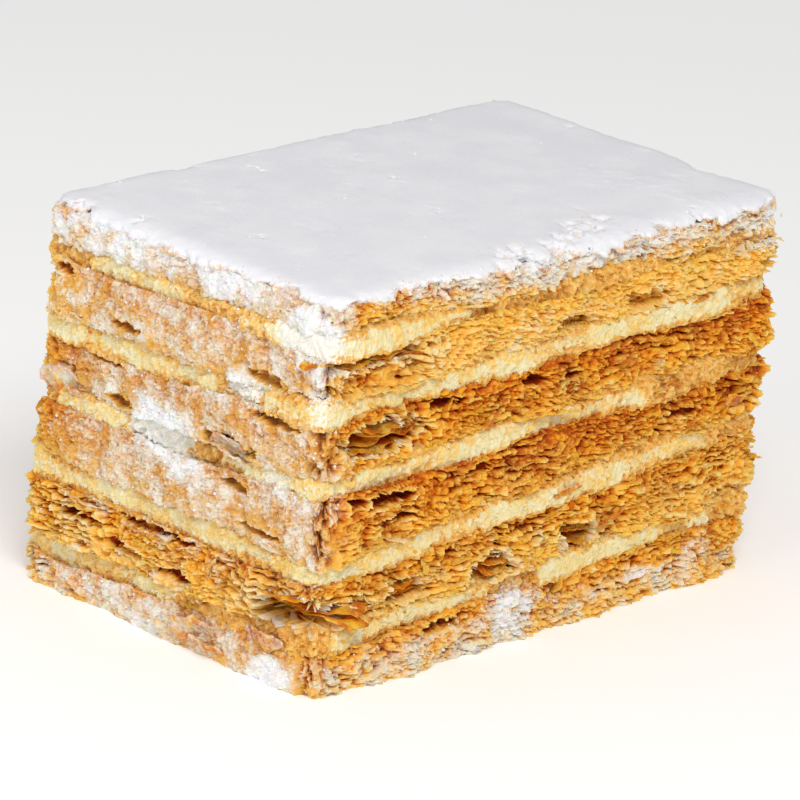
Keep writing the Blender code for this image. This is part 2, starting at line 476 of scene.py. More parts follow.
def grow(piece, tree, **values):
    """Runs the tree on the piece, with those inputs, and keeps the result as the piece's plain mesh."""
    modifier = piece.modifiers.new(tree.name, "NODES")
    modifier.node_group = tree
    for item in tree.interface.items_tree:
        label = item.name.replace(" ", "_").lower()
        if item.in_out == "INPUT" and label in values:
            modifier[item.identifier] = values[label]
    evaluated = piece.evaluated_get(bpy.context.evaluated_depsgraph_get())
    mesh = bpy.data.meshes.new_from_object(evaluated)
    mesh.name = piece.name
    piece.modifiers.clear()
    piece.data = mesh


crumbling, given, made = new_tree("crumbled_cut_side", (
    ("Leaf Pitch", "Float"), ("Leaf Reach", "Float"), ("Gap Depth", "Float"), ("Leafiness", "Float"),
    ("Crumb Size", "Float"), ("Crumb Depth", "Float"), ("Chunk Depth", "Float"), ("Stand", "Float"),
    ("Seed", "Float"),
    ("Lowest", "Vector"), ("Highest", "Vector"), ("Finish", "Material")))
seat = named(crumbling, "seat", "FLOAT_VECTOR")
outward = named(crumbling, "outward", "FLOAT_VECTOR")
push = named(crumbling, "push")
lift = named(crumbling, "lift")
shift = same_each_way(given["Seed"])
spot = moved_by(seat, shift)
spot_parts = parts(spot)

# Each leaf lies between two warped heights, and has its own torn edge.
slow_warp = times_plus(clouds(spot, 15 * MM), 4.0 * MM, -2.0 * MM)
fast_warp = times_plus(clouds(spot, 3.5 * MM), 1.5 * MM, -0.75 * MM)
warped = plus(spot_parts[2], plus(slow_warp, fast_warp))
leaf_height = maths("DIVIDE", warped, given["Leaf Pitch"])
leaf_number = maths("FLOOR", leaf_height)
leaf_share = maths("FRACT", leaf_height)
leaf_far = times(leaf_number, 13.1 * MM)
leaf_inputs = {0: spot_parts[0], 1: spot_parts[1], 2: leaf_far}
leaf_spot = add(crumbling, "ShaderNodeCombineXYZ", leaf_inputs).outputs[0]
bitten = eased_share(clouds(leaf_spot, 2.8 * MM, 3.0, 0.6), 0.34, 0.66)
torn = cells(leaf_spot, 1.3 * MM)[0]
leaf_edge = times_plus(torn, 0.5, times(bitten, 0.6))
leaf_depth = times(leaf_edge, given["Leaf Reach"])
to_next = maths("MINIMUM", leaf_share, minus(1.0, leaf_share))
parted = eased_share(to_next, 0.0, 0.26, 1.0, 0.0)
gap_here = eased_share(clouds(leaf_spot, 4.5 * MM), 0.42, 0.62)
gap_depth = times(times(parted, gap_here), given["Gap Depth"])
leaves = plus(leaf_depth, gap_depth)

# Coarse crumb is broken bits at different depths, wider than they are high, with rough gaps between.
flat_spot = vector_maths("MULTIPLY", spot, (1.0, 1.0, 2.1))
rough_shift = drift(spot, 0.9 * MM, 2.0)
rough_spot = moved_by(flat_spot, scaled(rough_shift, 1.3 * MM))
bit_size = maths("DIVIDE", 1.0, given["Crumb Size"])
bit_cells = add(crumbling, "ShaderNodeTexVoronoi", {"Vector": rough_spot, "Scale": bit_size})
bit_edge = eased_share(bit_cells.outputs["Distance"], 0.25, 0.75)
bit_own = parts(bit_cells.outputs["Color"])[0]
grit_inputs = {"Vector": rough_spot, "Scale": times(bit_size, 2.6)}
grit_own = add(crumbling, "ShaderNodeTexVoronoi", grit_inputs).outputs["Color"]
grit = times(parts(grit_own)[1], 0.55)
bits = plus(times_plus(bit_own, 1.1, bit_edge), grit)
crumb = times(bits, given["Crumb Depth"])

fine_shift = scaled(rough_shift, 0.6 * MM)
fine_own = cells(moved_by(spot, fine_shift), 0.48 * MM)[0]
fine_broad = clouds(spot, 1.6 * MM, 3.0, 0.6)
fine_crumb = plus(times(fine_own, 0.50 * MM), times(fine_broad, 1.0 * MM))
leafy_clouds = clouds(spot, 9 * MM)
leafy = eased_share(plus(leafy_clouds, given["Leafiness"]), 0.42, 0.58)
mixed = plus(times(leaves, leafy), times(crumb, minus(1.0, times(leafy, 0.7))))
chunk_clouds = eased_share(clouds(spot, 5 * MM), 0.35, 0.7)
broken_clouds = eased_share(clouds(spot, 11 * MM), 0.38, 0.62)
chunks = times(plus(chunk_clouds, broken_clouds), given["Chunk Depth"])
ragged = times_plus(clouds(spot, 1.6 * MM, 4.0, 0.7), 4.0, -2.0)
pocket = eased_share(plus(named(crumbling, "pocket"), ragged), 0.0, 0.45)
pocket_depth = times(pocket, times(named(crumbling, "pocket_depth"), MM))
out_parts = parts(outward)
at_corner = maths("ABSOLUTE", times(out_parts[0], out_parts[1]))
corner_clouds = eased_share(clouds(spot, 3.2 * MM, 3.0, 0.6), 0.40, 0.68, 0.0, 3.6 * MM)
chunks = times_plus(at_corner, corner_clouds, chunks)
coarse = plus(mixed, chunks)
fine_edge = times_plus(clouds(spot, 2.2 * MM, 3.0, 0.6), 1.6, -0.8)
fine = eased_share(plus(named(crumbling, "fine"), fine_edge), 0.15, 0.50, 0.0, 0.88)
coarse = times(coarse, minus(1.0, fine))
coarse = times_plus(times(at_corner, corner_clouds), fine, coarse)
fine_crumb = times_plus(chunks, 0.65, fine_crumb)
depth = plus(times_plus(fine_crumb, fine, coarse), pocket_depth)
heap = eased_share(named(crumbling, "frost"), 0.50, 1.0, 0.0, 0.7)
heap = times(heap, clouds(spot, 1.2 * MM, 3.0, 0.6))
stood_out = minus(depth, times_plus(heap, 2.0 * MM, given["Stand"]))

inward = scaled(outward, times(times(stood_out, push), -1.0))
place = add(crumbling, "GeometryNodeInputPosition").outputs[0]
dents = times(clouds(place, 0.9 * MM, 3.0, 0.65), -0.5 * MM)
dent = upright(times(dents, lift))
shaken = drift(spot, 0.7 * MM)
shaken = scaled(shaken, times(push, 0.45 * MM))
swell = times_plus(clouds(spot, 2.4 * MM, 3.0, 0.6), 1.6 * MM, -0.35 * MM)
swollen = upright(times(swell, named(crumbling, "rise")))
moved = moved_by(moved_by(place, inward), moved_by(dent, shaken))
moved = moved_by(moved, swollen)
# Kept for the material to paint shade with: each point's depth, how far it lies below the blurred depth of
# its neighbours, and its share of the pocket's shade. The crust is painted darker in the crevices, deep in
# the cut side and inside the narrow pockets, as if shade fell there.
kept_depth = keep(given["Geometry"], "depth", depth)
blur_inputs = {"Value": named(crumbling, "depth"), "Iterations": 14}
even_depth = add(crumbling, "GeometryNodeBlurAttribute", blur_inputs).outputs[0]
hollow = maths("DIVIDE", minus(named(crumbling, "depth"), even_depth), 0.8 * MM)
hollowed = keep(kept_depth, "hollow", hollow)
hollowed = keep(hollowed, "shade", times(pocket, named(crumbling, "pocket_shade")))
placed_inputs = {"Geometry": hollowed, "Position": held_in_box(moved, given)}
placed = add(crumbling, "GeometryNodeSetPosition", placed_inputs).outputs[0]
end_tree(placed, given, made)

baked, shading, shader = new_material("baked_pastry", 0.62, 0.2, 1.3 * MM, (1.0, 0.40, 0.10), 0.4)


def read(tree, label):
    return add(tree, "ShaderNodeAttribute", attribute_name=label).outputs["Fac"]


def blended(share, first, second):
    """The second colour laid over the first by that share."""
    inputs = {0: share, 6: first, 7: second}
    return add(tree_of(share), "ShaderNodeMix", inputs, data_type="RGBA").outputs[2]


def colour_steps(value, steps):
    """A ramp through (place, colour) steps."""
    node = add(tree_of(value), "ShaderNodeValToRGB", {0: value})
    stops = node.color_ramp.elements
    while len(stops) < len(steps):
        stops.new(0.5)
    for stop, (where, colour) in zip(stops, steps):
        stop.position = where
        stop.color = (*colour, 1)
    return node.outputs[0]


spot = add(shading, "ShaderNodeTexCoord").outputs["Object"]
# Painted shade: the crust is darker where it lies below its neighbours, where it is sunk deep in the cut side
# and inside the narrow pockets, as if shade fell there. The random tone, the sheet's browning and the specks
# are the crust's own colour, and it is a little darker towards the top of each sheet.
shade_and_browning = times_plus(read(shading, "hollow"), 0.46, 0.44)
sunk_shade = eased_share(read(shading, "depth"), 2.2 * MM, 4.5 * MM, 0.0, 0.5)
own_tone = times(read(shading, "tone"), 0.45)
shade_and_browning = plus(shade_and_browning, minus(sunk_shade, own_tone))
shade_and_browning = plus(shade_and_browning, plus(read(shading, "shade"), read(shading, "browned")))
crumb_speck = times_plus(clouds(spot, 0.5 * MM, 2.0), 0.30, -0.15)
shade_and_browning = plus(shade_and_browning, crumb_speck)
up_sheet = plus(read(shading, "rise"), times_plus(clouds(spot, 2.5 * MM, 2.0), 1.6, -0.8))
shade_and_browning = plus(shade_and_browning, eased_share(up_sheet, -0.9, 1.0, -0.13, 0.13))
golden = colour_steps(shade_and_browning, (
    (0.00, (0.93, 0.68, 0.28)), (0.25, (0.91, 0.55, 0.090)), (0.50, (0.84, 0.38, 0.022)),
    (0.72, (0.64, 0.155, 0.004)), (1.00, (0.34, 0.030, 0.001))))
toasted = colour_steps(shade_and_browning, (
    (0.00, (0.93, 0.71, 0.38)), (0.27, (0.86, 0.54, 0.13)), (0.52, (0.72, 0.30, 0.026)),
    (0.74, (0.50, 0.105, 0.004)), (1.00, (0.27, 0.024, 0.001))))
toast_here = eased_share(clouds(spot, 7 * MM, 2.0), 0.42, 0.62)
crust = blended(toast_here, golden, toasted)
buttery_clouds = clouds(spot, 2.6 * MM, 3.0)
at_foot = eased_share(read(shading, "rise"), -1.0, 0.2, 0.16, 0.0)
buttery_sum = times_plus(read(shading, "browned"), -0.5, plus(buttery_clouds, at_foot))
buttery_here = eased_share(buttery_sum, 0.54, 0.66, 0.0, 0.7)
crust = blended(buttery_here, crust, (0.96, 0.56, 0.095, 1))
crust = blended(times(read(shading, "fine"), 0.65), crust, (0.62, 0.33, 0.085, 1))
frost = read(shading, "frost")
frost_speck = clouds(spot, 0.45 * MM, 3.0, 0.6)
frost_patch = clouds(spot, 3.0 * MM, 2.0)
frost_sum = plus(times_plus(frost_patch, 1.2, frost_speck), frost)
frosted = eased_share(minus(frost_sum, times(shade_and_browning, 0.30)), 1.14, 1.72)
whiter = plus(frost, times_plus(frost_patch, 0.9, -0.45))
dust = blended(eased_share(whiter, 0.50, 0.85), (0.80, 0.75, 0.65, 1), (0.88, 0.87, 0.87, 1))
crust = blended(frosted, crust, dust)
shading.links.new(crust, shader.inputs["Base Color"])
roughen(shader, 0.5, 0.10 * MM, clouds(spot, 0.25 * MM, 2.0))

# Pockets: way round from the front left corner (minus along the left side), height, half its length,
# half its height and depth, all in millimetres.
POCKETS = (
    (-2.0, 11.3, 10.5, 2.5, 6.0), (18.0, 12.3, 3.6, 1.5, 4.0), (34.0, 12.0, 4.4, 2.0, 4.5),
    (50.5, 12.9, 4.2, 1.9, 5.0), (27.5, 18.6, 5.0, 1.0, 2.2), (-38.0, 10.5, 6.0, 0.7, 1.5),
    (-27.0, 9.8, 5.0, 0.6, 1.5), (-46.0, 12.4, 4.6, 0.7, 1.5), (-31.0, 14.6, 7.0, 0.6, 1.5),
    (12.0, 35.0, 8.5, 2.2, 5.0), (-18.0, 31.6, 5.2, 1.0, 1.8), (-40.0, 31.0, 2.8, 0.7, 1.5),
    (-43.0, 35.4, 3.8, 0.6, 1.5), (23.0, 37.2, 3.2, 0.7, 1.8), (39.5, 37.3, 2.6, 0.7, 1.8),
    (46.5, 36.8, 3.0, 0.6, 1.5), (-9.5, 36.7, 5.0, 0.7, 1.8), (10.0, 46.4, 11.0, 0.9, 3.0),
    (10.0, 43.6, 10.0, 1.8, 1.4), (46.5, 44.6, 4.4, 1.2, 2.2), (61.5, 45.4, 4.4, 1.2, 2.2),
    (-52.0, 46.0, 2.2, 0.6, 1.4), (-38.0, 42.2, 2.8, 0.7, 1.5), (-11.5, 42.4, 3.8, 0.8, 1.6),
    (11.5, 26.4, 6.5, 0.9, 2.2), (14.0, 23.3, 4.0, 0.6, 1.6), (35.5, 28.6, 4.0, 0.8, 1.8),
    (-17.0, 25.4, 2.4, 0.7, 1.6), (24.0, 5.4, 3.4, 0.7, 2.0), (86.0, 46.5, 3.4, 1.0, 2.0),
    (-5.0, 41.6, 3.5, 0.6, 1.5), (-12.0, 21.0, 4.5, 0.4, 1.2),
    (55.0, 19.6, 4.0, 0.6, 1.5), (70.0, 27.0, 3.0, 0.6, 1.5), (30.0, 26.6, 3.0, 0.6, 1.5),
)

# Sugar that fell down the sides, and how thickly, over an even dusting: way round, height, half its
# length and half its height in millimetres, and its share.
SIDE_DUST = 0.44
SUGARED = (
    (-31.5, 29.5, 8.5, 6.4, 0.86), (-9.0, 1.6, 6.0, 3.2, 0.84), (-15.5, 40.0, 6.0, 3.6, 0.75),
    (-4.0, 50.5, 9.0, 8.0, 0.76), (-0.5, 43.0, 5.0, 8.0, 0.66), (-25.0, 25.0, 6.0, 3.0, 0.75),
    (-9.0, 28.0, 7.0, 4.0, 0.65),
    (37.5, 4.6, 5.4, 6.2, 0.74), (26.0, 1.4, 10.0, 2.4, 0.60), (63.0, 4.0, 4.6, 1.6, 0.7),
    (83.0, 53.0, 11.0, 4.6, 0.70), (45.0, 54.0, 40.0, 3.4, 0.66), (-40.0, 53.0, 24.0, 5.0, 0.72),
    (-20.0, 53.5, 14.0, 4.2, 0.80), (-32.0, 2.5, 34.0, 4.0, 0.56), (20.0, 2.5, 24.0, 3.4, 0.46),
    (62.0, 2.5, 26.0, 3.4, 0.36), (-30.0, 46.0, 26.0, 2.5, 0.50),
    (74.0, 5.0, 4.0, 2.0, 0.45), (2.0, 27.0, 4.0, 3.0, 0.50),
)


def dusting(seats, ways, inside):
    """How thickly sugar lies on each point: even on the left side, thicker in spots, none in the pockets."""
    left_share = np.clip((8 * MM - ways) / (10 * MM), 0, 1) * np.clip((63 * MM + ways) / (20 * MM), 0, 1)
    nearness, share = spread(seats, ways, SUGARED)
    spots = np.clip((nearness + 0.6) * 0.66, 0, 1) * share
    even = SIDE_DUST * left_share * np.clip((seats[:, 2] - 6 * MM) / (14 * MM), 0.35, 1)
    return np.where(inside > -0.1, 0.0, np.maximum(even, spots)), left_share


SHEETS = (
    ("pastry_sheet_1", {"leaf_pitch": 0.85, "leafiness": -0.02, "stand": 0.6, "browned": 0.0}),
    ("pastry_sheet_2", {"leaf_pitch": 0.75, "leafiness": 0.06, "stand": 0.6, "browned": 0.04}),
    ("pastry_sheet_3", {"leaf_pitch": 0.95, "leafiness": 0.02, "stand": 0.6, "browned": 0.19}),
    ("pastry_sheet_4", {"leaf_pitch": 1.00, "leafiness": 0.03, "stand": 0.6, "browned": 0.20}),
    ("pastry_sheet_5", {"leaf_pitch": 0.90, "leafiness": -0.05, "stand": 0.8, "browned": -0.24}),
    ("pastry_sheet_6", {"leaf_pitch": 0.90, "leafiness": -0.06, "stand": 0.8, "browned": 0.0}),
)
TOP_INSETS = tuple(inset * MM for inset in (1.1, 1.5, 1.9, 2.3, 2.8, 3.3, 3.9, 4.6, 5.5, 8, 13))
LOW_INSETS = tuple(inset * MM for inset in (1.1, 1.6, 2.2, 3.0, 4.0, 6.0, 13))
pastry_pieces = []
for number, (node, own) in enumerate(SHEETS, 1):
    sheet, seats, ways = layer_shell(
        "baked_sheet_%d" % number, node, 0.16 * MM, 0.35 * MM, TOP_INSETS, LOW_INSETS)
    inside, amount = spread(seats, ways, POCKETS)
    store(sheet, "pocket", inside)
    store(sheet, "pocket_depth", amount)
    store(sheet, "pocket_shade", np.where(amount < 2.9, 0.42, 0.05))
    frost, left_share = dusting(seats, ways, inside)
    above = np.clip((seats[:, 2] - 14.5 * MM) / (2 * MM), 0, 1)
    foot = np.clip((6.5 * MM - seats[:, 2]) / (2 * MM), 0, 1)
    bare_left = left_share * np.maximum(above, 0.8 * foot)
    store(sheet, "browned", own["browned"] * (1 - left_share) + 0.08 * bare_left)
    store(sheet, "frost", frost)
    store(sheet, "fine", 0.85 * bare_left)
    store(sheet, "catch", np.where(inside > -0.15, 0.15, 1.0))
    leaf_catch = np.where(inside > -0.15, 0.25, 1.0) * (1 - 0.88 * bare_left) * (1 - 0.8 * frost)
    store(sheet, "catch_leaves", leaf_catch)
    grow(sheet, crumbling, leaf_pitch=own["leaf_pitch"] * MM, leaf_reach=1.6 * MM, gap_depth=1.9 * MM,
         leafiness=own["leafiness"], crumb_size=0.85 * MM, crumb_depth=0.62 * MM, chunk_depth=0.9 * MM,
         stand=own["stand"] * MM, seed=0.37 * number, lowest=cad_low, highest=cad_high, finish=baked)
    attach(sheet, "root")
    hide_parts(node)
    pastry_pieces.append(sheet)


# ---------------------------------------------------------------------------------------------------
# The cream layers. Each is vanilla pastry cream, piped on the sheet below and pressed flat by the one
# above, so that it bulges a little between them and carries crumbs on its cut side.

smoothing, given, made = new_tree("pressed_cream", (
    ("Slump", "Float"), ("Lump Depth", "Float"), ("Smear", "Float"), ("Stand", "Float"), ("Seed", "Float"),
    ("Lowest", "Vector"), ("Highest", "Vector"), ("Finish", "Material")))
seat = named(smoothing, "seat", "FLOAT_VECTOR")
shift = same_each_way(given["Seed"])
spot = moved_by(seat, shift)
broad = times(clouds(spot, 7 * MM), given["Slump"])
small = times(clouds(spot, 1.9 * MM, 3.0, 0.6), given["Lump Depth"])
curd = times(clouds(spot, 0.9 * MM, 4.0, 0.75), 1.4 * MM)
curd_own = cells(spot, 0.55 * MM)[0]
curd = times_plus(curd_own, 0.45 * MM, curd)
crumbed = named(smoothing, "crumbed")
crust_bits = cells(spot, 0.9 * MM)[0]
crust_bits = times(times(crust_bits, crumbed), 1.3 * MM)
depth = plus(plus(broad, small), plus(curd, crust_bits))
to_top = maths("POWER", maths("MAXIMUM", named(smoothing, "rise"), 0.0), 3.0)
set_back = minus(times(to_top, 0.9 * MM), given["Stand"])
depth = plus(depth, set_back)
amount = times(times(depth, named(smoothing, "push")), -1.0)
inward = scaled(named(smoothing, "outward", "FLOAT_VECTOR"), amount)
place = add(smoothing, "GeometryNodeInputPosition").outputs[0]
edge_waves = times_plus(clouds(spot, 3.2 * MM, 4.0, 0.6), 2.6, -0.6)
flare = times(times(edge_waves, named(smoothing, "rise")), given["Smear"])
flared = upright(flare)
moved = moved_by(moved_by(place, inward), flared)
placed = add(smoothing, "GeometryNodeSetPosition", {
    "Geometry": keep(given["Geometry"], "depth", depth),
    "Position": held_in_box(moved, given)}).outputs[0]
end_tree(placed, given, made)

vanilla, shading, shader = new_material("vanilla_cream", 0.5, 0.3, 1.5 * MM, (1.0, 0.8, 0.45), 0.4)
spot = add(shading, "ShaderNodeTexCoord").outputs["Object"]
yolk = eased_share(clouds(spot, 4 * MM, 3.0), 0.35, 0.68)
custard = blended(yolk, (0.84, 0.75, 0.44, 1), (0.84, 0.66, 0.27, 1))
buttery = plus(clouds(spot, 3.4 * MM, 3.0, 0.6), times(read(shading, "rise"), 0.07))
custard = blended(eased_share(buttery, 0.48, 0.58, 0.0, 0.75), custard, (0.88, 0.55, 0.10, 1))
sifted = eased_share(clouds(spot, 0.5 * MM, 3.0, 0.6), 0.50, 0.66, 0.0, 0.7)
custard = blended(sifted, custard, (0.86, 0.82, 0.66, 1))
stuck_clouds = times(clouds(spot, 1.1 * MM, 3.0, 0.6), 1.1)
near_edge = eased_share(maths("ABSOLUTE", read(shading, "rise")), 0.15, 1.0, 0.0, 0.66)
crumb_share = plus(read(shading, "crumbed"), near_edge)
stuck = eased_share(plus(stuck_clouds, crumb_share), 0.92, 1.10)
stuck_tone = clouds(spot, 0.7 * MM, 3.0, 0.6)
stuck_colour = colour_steps(stuck_tone, (
    (0.30, (0.50, 0.16, 0.015)), (0.45, (0.80, 0.42, 0.07)), (0.70, (0.90, 0.64, 0.26))))
custard = blended(stuck, custard, stuck_colour)
sugar_clouds = clouds(spot, 0.4 * MM, 3.0, 0.6)
sugared = eased_share(plus(sugar_clouds, read(shading, "frost")), 0.72, 0.95)
custard = blended(sugared, custard, (0.90, 0.87, 0.78, 1))
shading.links.new(custard, shader.inputs["Base Color"])

# Where crumb covers the cream: way round, height, half its length, half its height and how thickly.
CRUMBED = (
    (58.0, 49.0, 34.0, 6.0, 1.0), (-22.0, 50.5, 6.0, 6.0, 0.7), (-52.0, 50.0, 6.0, 6.0, 0.9),
    (-16.0, 39.5, 5.0, 4.0, 0.9), (76.0, 32.5, 17.0, 4.0, 0.8),
    (-29.0, 28.5, 10.0, 4.0, 0.9), (-56.0, 28.0, 5.0, 4.0, 0.8), (86.0, 24.0, 14.0, 4.0, 0.9),
    (37.5, 8.0, 5.0, 4.0, 0.9), (84.0, 11.0, 8.0, 4.0, 1.0), (-18.0, 5.0, 10.0, 4.0, 0.8),
    (-3.0, 8.0, 7.0, 3.0, 0.7), (12.0, 8.5, 4.0, 2.0, 0.35), (47.0, 41.5, 3.0, 2.0, 0.4),
    (110.0, 40.0, 18.0, 30.0, 0.5), (160.0, 28.0, 14.0, 30.0, 0.6), (-72.0, 30.0, 12.0, 30.0, 0.5),
)
CREAM_STAND = 1.15 * MM
TOP_CREAM_STAND = 1.8 * MM
CREAM_INSETS = tuple(inset * MM for inset in (0.9, 1.4, 2.0, 2.8, 4.0, 6.0, 13))
cream_pieces = []
for number in range(1, 6):
    node = "cream_layer_%d" % number
    layer, seats, ways = layer_shell(
        "pressed_cream_%d" % number, node, 0.18 * MM, 0.3 * MM, CREAM_INSETS, CREAM_INSETS)
    rises = np.empty(len(ways), np.float32)
    layer.data.attributes["rise"].data.foreach_get("value", rises)
    inside, amount = spread(seats, ways, CRUMBED)
    streaks = np.sin(ways / (6.1 * MM) + 1.9 * number) + np.sin(ways / (2.9 * MM) + 2.7 * number)
    covered = np.maximum(np.clip((inside + 0.1) * 2.5, 0, 1) * amount, 0.36 * np.clip(streaks, 0, 1))
    store(layer, "crumbed", covered)
    frost, left_share = dusting(seats, ways, np.full(len(ways), -1.0))
    store(layer, "frost", frost * np.clip(0.4 + 2.0 * (frost - 0.55), 0.4, 0.75))
    edge = np.abs(rises) ** 1.5
    store(layer, "catch", 0.16 + 0.84 * np.maximum(covered, 0.85 * edge))
    store(layer, "catch_leaves", (0.03 + 0.75 * np.maximum(covered, 0.7 * edge)) * (1 - 0.8 * left_share))
    cream_pieces.append(layer)
    stand = TOP_CREAM_STAND if number == 5 else CREAM_STAND
    grow(layer, smoothing, slump=0.9 * MM, lump_depth=0.5 * MM, smear=0.9 * MM, stand=stand,
         seed=0.53 * number, lowest=cad_low, highest=cad_high, finish=vanilla)
    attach(layer, "root")
    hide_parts(node)


# ---------------------------------------------------------------------------------------------------
# The icing sugar. It is sifted thickly over the top sheet until the crust is hidden, slides over the
# shoulders, and breaks open along the edges where the crust shows through.

sifting, given, made = new_tree("sifted_cap", (
    ("Under Sheet", "Object"), ("Bare Spots", "Object"), ("Voxel", "Float"), ("Across", "Int"),
    ("Along", "Int"), ("Up", "Int"), ("Skin", "Float"), ("Shoulder", "Float"), ("Rim Height", "Float"),
    ("Relief", "Float"),
    ("Lowest", "Vector"), ("Highest", "Vector"), ("Finish", "Material")))
place = add(sifting, "GeometryNodeInputPosition").outputs[0]
nearest = add(sifting, "GeometryNodeProximity", {0: given["Geometry"]}, target_element="FACES").outputs[1]
upward = add(sifting, "GeometryNodeRaycast", {
    "Target Geometry": given["Geometry"], "Source Position": place, "Ray Direction": (0.0, 0.0, 1.0),
    "Ray Length": 1.0})
facing = parts(upward.outputs["Hit Normal"])[2]
side = times_plus(maths("GREATER_THAN", facing, 0.0), 2.0, -1.0)
within_cap = times(side, nearest)
sheet_skin = add(sifting, "GeometryNodeObjectInfo", {"Object": given["Under Sheet"]}).outputs["Geometry"]
to_sheet = add(sifting, "GeometryNodeProximity", {0: sheet_skin}, target_element="FACES").outputs[1]
height = parts(place)[2]
corner = times(given["Shoulder"], -1.0)
half_cap = scaled(vector_maths("SUBTRACT", given["Highest"], given["Lowest"]), 0.5)
reach = moved_by(half_cap, same_each_way(corner))
centre = scaled(moved_by(given["Highest"], given["Lowest"]), 0.5)
from_centre = vector_maths("SUBTRACT", place, centre)
reach_parts = parts(reach)
centre_parts = parts(from_centre)
beyond = add(sifting, "ShaderNodeCombineXYZ", {
    0: minus(maths("ABSOLUTE", centre_parts[0]), reach_parts[0]),
    1: minus(maths("ABSOLUTE", centre_parts[1]), reach_parts[1]),
    2: minus(centre_parts[2], reach_parts[2])}).outputs[0]
beyond = vector_maths("MAXIMUM", beyond, (0.0, 0.0, 0.0))
beyond = add(sifting, "ShaderNodeVectorMath", {0: beyond}, operation="LENGTH").outputs["Value"]
rounded = minus(given["Shoulder"], beyond)
thicker = eased_share(height, 49.5 * MM, 54.8 * MM, 0.10, 2.0)
within_skin = minus(times(given["Skin"], thicker), to_sheet)
within = maths("SMOOTH_MAX", within_cap, within_skin, 0.8 * MM)
within = maths("SMOOTH_MIN", within, rounded, 0.6 * MM)
sloping = eased_share(height, 50.5 * MM, 55.2 * MM, 1.5 * MM, 0.0)
within = minus(within, sloping)
within = maths("MAXIMUM", within, minus(0.30 * MM, to_sheet))
powder = times_plus(clouds(place, 1.4 * MM, 4.0, 0.7), -2.4, 0.95)
bit_shift = drift(place, 0.9 * MM)
bit_spot = moved_by(place, scaled(bit_shift, 1.0 * MM))
bit_own = cells(bit_spot, 1.0 * MM)[0]
on_wall = eased_share(height, 53.0 * MM, 55.3 * MM, 1.0, 0.0)
bits = times(times(bit_own, on_wall), -0.9 * MM)
swell = times_plus(clouds(place, 11 * MM, 1.0), -2.0, 0.9)
on_side = eased_share(height, 53.2 * MM, 55.4 * MM, 5.0, 1.6)
relief = times(plus(powder, swell), times(given["Relief"], on_side))
rim_clouds = times_plus(clouds(place, 6 * MM, 5.0, 0.7), 15 * MM, -7.5 * MM)
above_rim = minus(height, plus(given["Rim Height"], rim_clouds))
bare_points = add(sifting, "GeometryNodeObjectInfo", {"Object": given["Bare Spots"]}).outputs["Geometry"]
to_bare = add(sifting, "GeometryNodeProximity", {0: bare_points}, target_element="POINTS").outputs[1]
bare_clouds = times(clouds(place, 1.8 * MM, 4.0, 0.65), 4.4 * MM)
clear = minus(to_bare, bare_clouds)
powdery = plus(within, plus(relief, bits))
amount = maths("MINIMUM", powdery, maths("MINIMUM", above_rim, clear))
density = times_plus(amount, maths("DIVIDE", 0.25, given["Voxel"]), 0.5)
density = add(sifting, "ShaderNodeClamp", {0: density}).outputs[0]
CAP_ROOM = 1.0 * MM
room_round = (CAP_ROOM, CAP_ROOM, CAP_ROOM)
grid = add(sifting, "GeometryNodeVolumeCube", {
    "Density": density, "Min": vector_maths("SUBTRACT", given["Lowest"], room_round),
    "Max": moved_by(given["Highest"], room_round),
    "Resolution X": given["Across"], "Resolution Y": given["Along"], "Resolution Z": given["Up"]}).outputs[0]
skin_inputs = {"Volume": grid, "Threshold": 0.5, "Adaptivity": 0.16}
skinned = add(sifting, "GeometryNodeVolumeToMesh", skin_inputs).outputs[0]
skinned_inputs = {"Geometry": skinned, "Position": held_in_box(place, given)}
skinned = add(sifting, "GeometryNodeSetPosition", skinned_inputs).outputs[0]
smooth = add(sifting, "GeometryNodeSetShadeSmooth", {"Geometry": skinned}).outputs[0]
near_bare = eased_share(to_bare, 1.5 * MM, 5.0 * MM, 0.24, 0.0)
smooth = keep(smooth, "thin", times(near_bare, eased_share(height, 54.0 * MM, 55.4 * MM, 1.0, 0.45)))
smooth = keep(smooth, "push", 1.0)
smooth = keep(smooth, "capped", 1.0)
smooth = keep(smooth, "frost", eased_share(height, 54.6 * MM, 56.0 * MM, 0.9, 0.02))
end_tree(smooth, given, made)

powdered, shading, shader = new_material("icing_sugar", 0.95, 0.15, 0.4 * MM, (1.0, 1.0, 1.0), 0.15)
spot = add(shading, "ShaderNodeTexCoord").outputs["Object"]
cool = eased_share(clouds(spot, 6 * MM, 3.0), 0.35, 0.65)
white = blended(cool, (0.895, 0.895, 0.95, 1), (0.935, 0.938, 0.98, 1))
up = parts(spot)[2]
lower = eased_share(up, 50.5 * MM, 55.4 * MM, 0.27, 0.0)
lower = times(lower, read(shading, "capped"))
white = blended(times(lower, 3.0), white, (0.93, 0.87, 0.78, 1))
crust_clouds = clouds(spot, 0.65 * MM, 4.0, 0.7)
crust_near = plus(crust_clouds, plus(lower, read(shading, "thin")))
white = blended(eased_share(crust_near, 0.62, 0.82, 0.0, 0.9), white, (0.87, 0.54, 0.24, 1))
shading.links.new(white, shader.inputs["Base Color"])
roughen(shader, 0.7, 0.18 * MM, clouds(spot, 0.40 * MM, 4.0, 0.7))


def joined_copy(name, node):
    """A copy of the CAD node with its loose triangles joined."""
    merged = bmesh.new()
    merged.from_mesh(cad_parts[node].data)
    bmesh.ops.remove_doubles(merged, verts=merged.verts, dist=0.01 * MM)
    mesh = bpy.data.meshes.new(name)
    merged.to_mesh(mesh)
    merged.free()
    copy = bpy.data.objects.new(name, mesh)
    bpy.context.scene.collection.objects.link(copy)
    return copy


